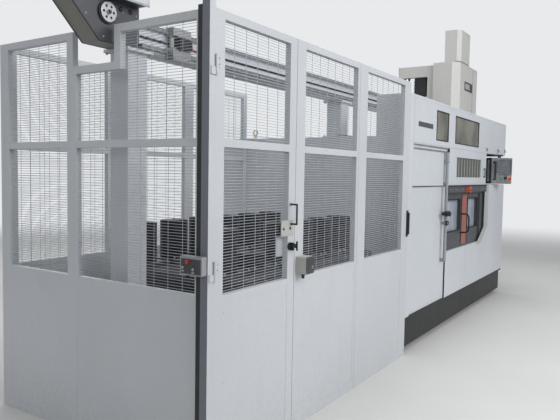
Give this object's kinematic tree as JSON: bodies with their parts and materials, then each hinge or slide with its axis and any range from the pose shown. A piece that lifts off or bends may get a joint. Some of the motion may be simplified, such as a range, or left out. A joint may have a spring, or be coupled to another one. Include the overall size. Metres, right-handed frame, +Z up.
{
  "type": "twin-spindle cnc lathe",
  "caption": "Twin-spindle CNC lathe with sliding doors, control pendant, overhead gantry loader, work stocker and a wire-mesh safety guard.",
  "frame": {"origin": "on the floor, under the middle of the lathe's front left levelling foot", "axes": "+X along the lathe's front to the right, from the guard towards the loader's tower; +Y from the front to the back; +Z up"},
  "size_m": [8.135, 2.8664, 3.631],
  "materials": {
    "machine_white": "satin",
    "guard_white": "satin",
    "tower_grey": "satin",
    "dark_grey": "satin",
    "cast": "machined",
    "steel": "brushed",
    "ground": "ground",
    "pipe_grey": "satin",
    "black": "matte",
    "slats": "satin",
    "pane": "clear",
    "hood_pane": "tinted",
    "red": "gloss",
    "green": "gloss",
    "post_blue": "satin",
    "box_grey": "satin",
    "rings": "rough"
  },
  "bodies": {
    "machine": {"bed_casting": "cast", "levelling_feet": "cast", "chip_conveyor": "dark_grey", "left_front_cover": "machine_white", "upper_left_cover": "machine_white", "upper_front_cover": "machine_white", "upper_window_panes": "hood_pane", "louvre_cover": "machine_white", "louvre_slats": "slats", "door_lintel": "dark_grey", "front_apron": "machine_white", "right_front_cover": "machine_white", "rear_covers": "machine_white", "roof_cover": "machine_white", "service_pipe": "pipe_grey", "electrical_cabinet": "machine_white", "left_headstock": "machine_white", "pendant_arm": "dark_grey", "beam_supports": "machine_white", "gantry_beam": "machine_white", "beam_rails": "ground", "drive_housing": "machine_white", "stocker_frame": "dark_grey", "stocker_pallets": "dark_grey", "workpiece_stacks": "rings", "guard_front_wall": "guard_white", "guard_end_wall": "guard_white", "guard_rear_wall": "guard_white", "corner_post": "post_blue", "switch_boxes": "box_grey"},
    "cabinet_leaf": {"cabinet_door": "machine_white"},
    "switch_knob": {"main_switch": "red"},
    "left_spindle": {"left_chuck": "steel"},
    "moving_headstock": {"right_headstock": "machine_white"},
    "right_spindle": {"right_chuck": "steel"},
    "upper_carrier": {"upper_saddle": "cast"},
    "upper_cross": {"upper_cross_slide": "machine_white"},
    "upper_disc": {"upper_turret": "steel"},
    "lower_carrier": {"lower_saddle": "cast"},
    "lower_cross": {"lower_cross_slide": "machine_white"},
    "lower_disc": {"lower_turret": "steel"},
    "left_leaf": {"left_door": "dark_grey", "left_door_pane": "pane", "door_handle": "black"},
    "right_leaf": {"right_door": "dark_grey", "right_door_pane": "pane"},
    "pendant": {"pendant_box": "black"},
    "stop_button": {"emergency_stop": "red"},
    "green_button": {"start_button": "green"},
    "dial": {"feed_dial": "black"},
    "pulley": {"drive_pulley": "steel"},
    "carriage": {"carriage_frame": "tower_grey", "carriage_cover": "tower_grey", "carriage_motor": "black"},
    "ram": {"loader_ram": "steel", "ram_cover": "tower_grey"},
    "gripper": {"loader_gripper": "steel"},
    "guard_leaf": {"guard_door": "guard_white", "guard_handle": "black"},
    "lock": {"lock_knob": "black"}
  },
  "joints": [
    {"name": "cabinet_door_hinge", "type": "hinge", "parent": "machine", "child": "cabinet_leaf", "pos_m": [1.9716, 2.2588, 1.15], "axis": [0, 0, 1], "range_deg": [0, 110]},
    {"name": "main_switch_turn", "type": "hinge", "parent": "cabinet_leaf", "child": "switch_knob", "pos_m": [3.16, 2.2808, 1.53], "axis": [0, 1, 0], "range_deg": [0, 90]},
    {"name": "left_spindle_turn", "type": "hinge", "parent": "machine", "child": "left_spindle", "pos_m": [0.34, 0.60098, 1.20592], "axis": [1, 0, 0], "continuous": true},
    {"name": "right_headstock_slide", "type": "slide", "parent": "machine", "child": "moving_headstock", "axis": [1, 0, 0], "range_m": [-0.6, 0]},
    {"name": "right_spindle_turn", "type": "hinge", "parent": "moving_headstock", "child": "right_spindle", "pos_m": [3.04, 0.60098, 1.20592], "axis": [1, 0, 0], "continuous": true},
    {"name": "upper_saddle_slide", "type": "slide", "parent": "machine", "child": "upper_carrier", "axis": [1, 0, 0], "range_m": [-0.6, 0.35]},
    {"name": "upper_cross_slide_feed", "type": "slide", "parent": "upper_carrier", "child": "upper_cross", "axis": [0, 0.7431, 0.6691], "range_m": [-0.28, 0]},
    {"name": "upper_turret_index", "type": "hinge", "parent": "upper_cross", "child": "upper_disc", "pos_m": [1.28, 0.97255, 1.54049], "axis": [1, 0, 0], "continuous": true},
    {"name": "lower_saddle_slide", "type": "slide", "parent": "machine", "child": "lower_carrier", "axis": [1, 0, 0], "range_m": [-0.6, 0.35]},
    {"name": "lower_cross_slide_feed", "type": "slide", "parent": "lower_carrier", "child": "lower_cross", "axis": [0, 0.8324, 0.5542], "range_m": [0, 0.3]},
    {"name": "lower_turret_index", "type": "hinge", "parent": "lower_cross", "child": "lower_disc", "pos_m": [1.28, 0.13117, 0.89311], "axis": [1, 0, 0], "continuous": true},
    {"name": "left_door_slide", "type": "slide", "parent": "machine", "child": "left_leaf", "axis": [1, 0, 0], "range_m": [-0.5, 0]},
    {"name": "right_door_slide", "type": "slide", "parent": "machine", "child": "right_leaf", "axis": [1, 0, 0], "range_m": [0, 0.78]},
    {"name": "pendant_swivel", "type": "hinge", "parent": "machine", "child": "pendant", "pos_m": [3.04, -0.4, 1.95], "axis": [0, 0, 1], "range_deg": [-40, 50]},
    {"name": "emergency_stop_press", "type": "slide", "parent": "pendant", "child": "stop_button", "axis": [0.6428, 0.766, 0], "range_m": [0, 0.006]},
    {"name": "start_button_press", "type": "slide", "parent": "pendant", "child": "green_button", "axis": [0.6428, 0.766, 0], "range_m": [0, 0.004], "stiffness_N_per_m": 300},
    {"name": "feed_dial_turn", "type": "hinge", "parent": "pendant", "child": "dial", "pos_m": [3.04931, -0.48614, 1.68], "axis": [0.6428, 0.766, 0], "range_deg": [-150, 150]},
    {"name": "carriage_travel", "type": "slide", "parent": "machine", "child": "carriage", "axis": [1, 0, 0], "range_m": [-4.825, 0]},
    {"name": "drive_pulley_turn", "type": "hinge", "parent": "machine", "child": "pulley", "pos_m": [-3.064, 0.45, 2.613], "axis": [0, 1, 0], "continuous": true},
    {"name": "ram_lift", "type": "slide", "parent": "carriage", "child": "ram", "axis": [0, 0, 1], "range_m": [-0.95, 0]},
    {"name": "wrist_turn", "type": "hinge", "parent": "ram", "child": "gripper", "pos_m": [2.74, 0.09, 2.329], "axis": [0, 0, 1], "range_deg": [-90, 90]},
    {"name": "guard_door_hinge", "type": "hinge", "parent": "machine", "child": "guard_leaf", "pos_m": [-3.03, -0.358, 1.5], "axis": [0, 0, -1], "range_deg": [0, 100]},
    {"name": "guard_lock_turn", "type": "hinge", "parent": "guard_leaf", "child": "lock", "pos_m": [-2.276, -0.36, 1.222], "axis": [0, 1, 0], "range_deg": [0, 90]}
  ],
  "couplings": [
    {"joint": "drive_pulley_turn", "follows": "carriage_travel", "rad_per_m": 17.241}
  ]
}
